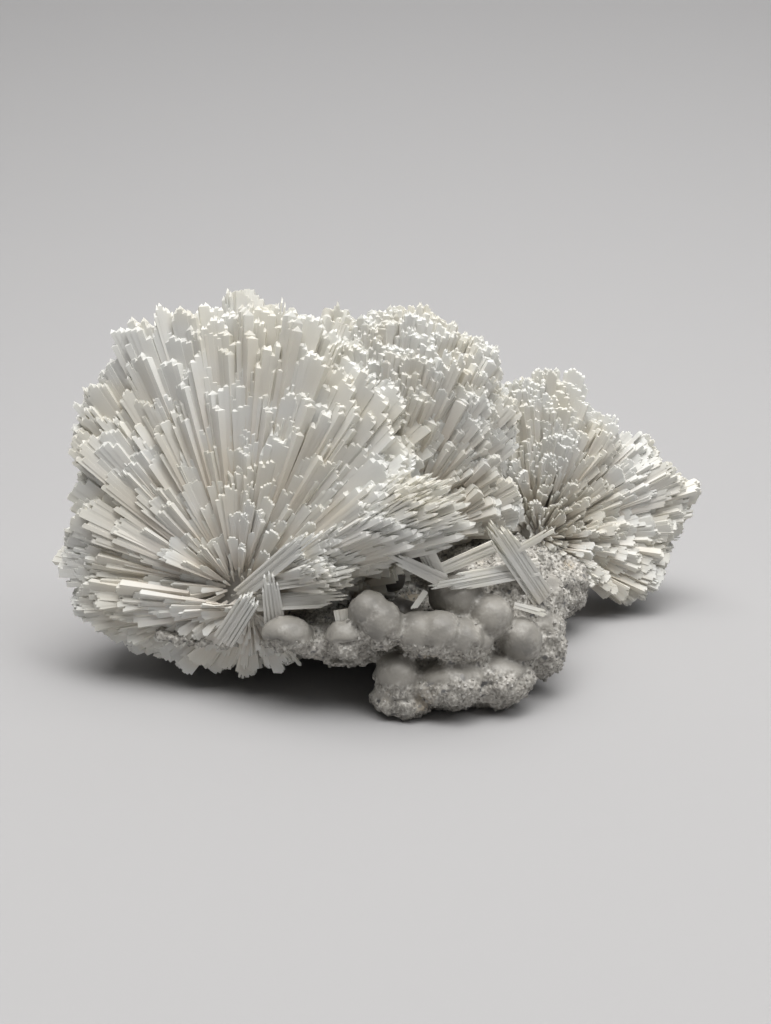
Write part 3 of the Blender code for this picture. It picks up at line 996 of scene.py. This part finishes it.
# The crest, which grew into the left spray: tips above and behind, and an open face of fine blades in front
crest = growth_surface(
    "crest",
    CREST_FOCUS,
    CREST_GROWTH,
    lambda heading_, place_: heading_.z > -0.5
    and heading_.dot(CREST_NORMAL) < -0.1
    and past_meeting(place_) < -1 * MM,
    scale=1.08,
    unevenness=0.12,
)
crest_face = growth_surface(
    "crest_face",
    CREST_FOCUS,
    CREST_GROWTH,
    lambda heading_, place_: (place_ - CREST_FOCUS).z > 7 * MM
    and -0.16 < heading_.dot(CREST_NORMAL) < 0.7
    and past_meeting(place_) < -1 * MM,
    scale=1.08,
    unevenness=0.12,
    face=(CREST_NORMAL, 4.0 * MM, 0.8),
)
for surface, seed in ((crest, 7), (crest_face, 17)):
    grown(
        surface,
        Focus=CREST_FOCUS,
        Spacing=2.5 * MM,
        Girth=4.1 * MM,
        Full_girth_at=20 * MM,
        Root_share=0.4,
        Short_share=0.2,
        Facing=CREST_NORMAL,
        Facing_jitter=0.8,
        Floret_size=11 * MM,
        Floret_lean=0.4,
        Floret_drop=0.2,
        Seed=seed,
        Bundles=crest_sticks,
    )
    ride_for(surface, "main_spray")
ride_for(core("crest_heart", CREST_FOCUS, CREST_GROWTH, 0.78, CREST_NORMAL), "main_spray")

# The right spray, in two lobes, broken open in front like the others, but further in front of its focus.
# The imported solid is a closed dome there, so this face lies behind the solid's surface.
RIGHT_NORMAL = Vector((0.35, -1.0, 0.3)).normalized()
right = growth_surface(
    "right_spray_crystals",
    RIGHT_FOCUS,
    RIGHT_GROWTH,
    lambda heading_, place_: heading_.z > -0.55 and past_meeting(place_) > 1 * MM,
    scale=1.05,
    unevenness=0.1,
    face=(RIGHT_NORMAL, 11.0 * MM, 0.6),
)
grown(
    right,
    Focus=RIGHT_FOCUS,
    Spacing=2.6 * MM,
    Girth=4.3 * MM,
    Full_girth_at=30 * MM,
    Root_share=0.35,
    Short_share=0.14,
    Facing=RIGHT_NORMAL,
    Facing_jitter=0.8,
    Floret_size=14 * MM,
    Floret_lean=0.2,
    Floret_drop=0.1,
    Seed=9,
    Bundles=fan_plates,
)
ride_for(right, "right_spray")
ride_for(core("right_heart", RIGHT_FOCUS, RIGHT_GROWTH, 0.74, RIGHT_NORMAL), "right_spray")


# The prisms across the vug
# A few blades of the same calcite that grew across the hollow, most from its right rim, frayed at their ends.
# Each turns its flat to the front.
TO_FRONT = Vector((0.1, -1, 0.3))
# Their colour is that of a strand from this height along it, over this span.
LONE_ALONG_FROM = 0.7
LONE_ALONG_SPAN = 0.3
VUG_PRISMS = [
    # root, tip and width in millimetres, and how wide the root is for it
    ((36.5, -22, 24), (23, -29, 45), 5.4, 1.0),
    ((35, -23, 32), (9, -32, 30), 3.8, 1.0),
    ((12.5, -28, 30), (5, -28.5, 46), 3.6, 1.0),
    ((13, -30, 31), (0, -33, 38.5), 2.6, 1.2),
    ((11, -27, 32), (29, -24, 39), 3.2, 0.8),
    ((28, -26, 36), (38, -26, 42), 1.8, 0.8),
    ((9, -31, 29), (5.5, -33, 24.5), 1.2, 1.0),
    ((29, -29, 25), (37, -30, 23), 1.6, 0.8),
]
# Broken prisms that lie across the fan's focus, in the same form
FOCUS_PRISMS = [
    ((-37, -28, 16), (-29, -31.5, 29), 4.6, 1.1),
    ((-33, -28, 27), (-14, -33, 44.5), 3.8, 0.9),
    ((-29, -28, 25), (-8, -32, 28), 4.0, 0.9),
    ((-25, -29, 20), (-26, -31.5, 34), 3.6, 1.3),
    ((-28, -29, 29), (-6, -34, 35), 3.2, 0.6),
    ((-10, -32, 25), (-9, -34, 19), 2.6, 1.2),
]


def lone_prisms(name, prisms, seed, strand_width=0.36, ragged=0.25, relief=0.16):
    """One piece of prisms that each run from a root to a tip, with their flats to the front."""
    joined = bmesh.new()
    along = joined.verts.layers.float.new("along")
    for index, (root_mm, tip_mm, width_mm, root_share) in enumerate(prisms):
        root_at, tip_at = Vector(root_mm) * MM + TO_ORIGIN, Vector(tip_mm) * MM + TO_ORIGIN
        axis = (tip_at - root_at).normalized()
        side = axis.cross(TO_FRONT).normalized()
        bundle = plate(
            seed + index,
            round(width_mm / strand_width),
            flat=0.35,
            ragged=ragged,
            taper=root_share,
            point=0.04,
            lobe=0.14,
            edges=(0.0, 0.4),
            relief=relief,
        )
        source = bundle.object(f"prism_{index}")
        scale = Matrix.Diagonal((width_mm * MM, width_mm * MM, (tip_at - root_at).length, 1))
        turn = Matrix((side, axis.cross(side), axis)).transposed().to_4x4()
        source.data.transform(Matrix.Translation(root_at) @ turn @ scale)
        joined.from_mesh(source.data)
        bpy.data.objects.remove(source)
    for vert in joined.verts:
        vert[along] = LONE_ALONG_FROM + LONE_ALONG_SPAN * vert[along]
    return object_from(name, joined, crystal)


ride_for(lone_prisms("vug_prisms", VUG_PRISMS, 40), "vug_crystals")
ride_for(lone_prisms("focus_prisms", FOCUS_PRISMS, 50), "main_spray")
smooth_blades = lone_prisms("front_blades", front_blades, 70, strand_width=0.6, ragged=0.08, relief=0.05)
ride_for(smooth_blades, "main_spray")


# The sugary grains
# Small calcite crystals that coat the broken faces of the rock, each 0.3 to 0.7 millimetres in size.
# They stand only where the crust is less smooth than the first number here.
BROKEN_BELOW = 0.3
FULL_TURN = 6.28
# How far a cube leans along X and Y for its height, to make calcite's rhomb
RHOMB_SHEAR = (0.25, 0.15)
grain_tree = bpy.data.node_groups.new("coat_with_grains", "GeometryNodeTree")
for name, kind in (
    ("Rock", "NodeSocketGeometry"),
    ("Spacing", "NodeSocketFloat"),
    ("Smallest", "NodeSocketFloat"),
    ("Largest", "NodeSocketFloat"),
    ("Grain", "NodeSocketObject"),
    ("Finish", "NodeSocketMaterial"),
    ("Seed", "NodeSocketInt"),
):
    grain_tree.interface.new_socket(name, in_out="INPUT", socket_type=kind)
grain_tree.interface.new_socket("Grains", in_out="OUTPUT", socket_type="NodeSocketGeometry")
given = put(grain_tree, "NodeGroupInput").outputs
broken = put(
    grain_tree,
    "FunctionNodeCompare",
    {0: stored(grain_tree, "smooth_crust", "FLOAT"), 1: BROKEN_BELOW},
    data_type="FLOAT",
    operation="LESS_THAN",
).outputs[0]
spots = put(
    grain_tree,
    "GeometryNodeDistributePointsOnFaces",
    {
        "Mesh": given["Rock"],
        "Selection": broken,
        "Distance Min": given["Spacing"],
        "Density Max": DENSEST,
        "Seed": given["Seed"],
    },
    distribute_method="POISSON",
)
size = put(
    grain_tree,
    "FunctionNodeRandomValue",
    {2: given["Smallest"], 3: given["Largest"], "Seed": given["Seed"]},
    data_type="FLOAT",
).outputs[1]
turn = put(
    grain_tree,
    "FunctionNodeRandomValue",
    {0: (0, 0, 0), 1: (FULL_TURN, FULL_TURN, FULL_TURN), "Seed": given["Seed"]},
    data_type="FLOAT_VECTOR",
).outputs[0]
shape = put(grain_tree, "GeometryNodeObjectInfo", {"Object": given["Grain"]}).outputs["Geometry"]
grains = put(
    grain_tree,
    "GeometryNodeInstanceOnPoints",
    {
        "Points": spots.outputs["Points"],
        "Instance": shape,
        "Rotation": turn,
        "Scale": size,
    },
).outputs[0]
real = put(grain_tree, "GeometryNodeRealizeInstances", {"Geometry": grains}).outputs[0]
finished = put(
    grain_tree, "GeometryNodeSetMaterial", {"Geometry": real, "Material": given["Finish"]}
).outputs[0]
put(grain_tree, "NodeGroupOutput", {0: finished})

# Sugary calcite, light grey to white in patches
sugar, tree = new_material("sugary_calcite")
place = put(tree, "ShaderNodeTexCoord").outputs["Object"]
patch = put(tree, "ShaderNodeTexNoise", {"Vector": place, "Scale": 260.0, "Detail": 3.0}).outputs["Fac"]
colour = ramp(patch, [(0.35, "A3A09A"), (0.5, "BAB7B0"), (0.65, "D6D4CE")])
milky(colour, 0.45)

grain_mesh = bmesh.new()
bmesh.ops.create_cube(grain_mesh, size=1)
for vert in grain_mesh.verts:
    vert.co.x += vert.co.z * RHOMB_SHEAR[0]
    vert.co.y += vert.co.z * RHOMB_SHEAR[1]
one_grain = object_from("one_grain", grain_mesh)
bpy.context.scene.collection.objects.unlink(one_grain)
coat = bpy.data.objects.new("sugar_coat", rock.data.copy())
bpy.context.scene.collection.objects.link(coat)
modifier = coat.modifiers.new("Coat", "NODES")
modifier.node_group = grain_tree
wanted = {
    "Spacing": 1.2 * MM,
    "Smallest": 0.3 * MM,
    "Largest": 0.7 * MM,
    "Grain": one_grain,
    "Finish": sugar,
    "Seed": 4,
}
for item in grain_tree.interface.items_tree:
    if item.name in wanted:
        modifier[item.identifier] = wanted[item.name]
coat_mesh = evaluated_copy(coat)
coat.modifiers.remove(modifier)
coat.data = coat_mesh
coat_mesh.materials.clear()
coat_mesh.materials.append(sugar)
points = np.array([v.co for v in coat_mesh.vertices])
points[:, 2] = np.maximum(points[:, 2], 0)
coat_mesh.vertices.foreach_set("co", points.astype(np.float32).ravel())
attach(coat, "root")
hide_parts("matrix")
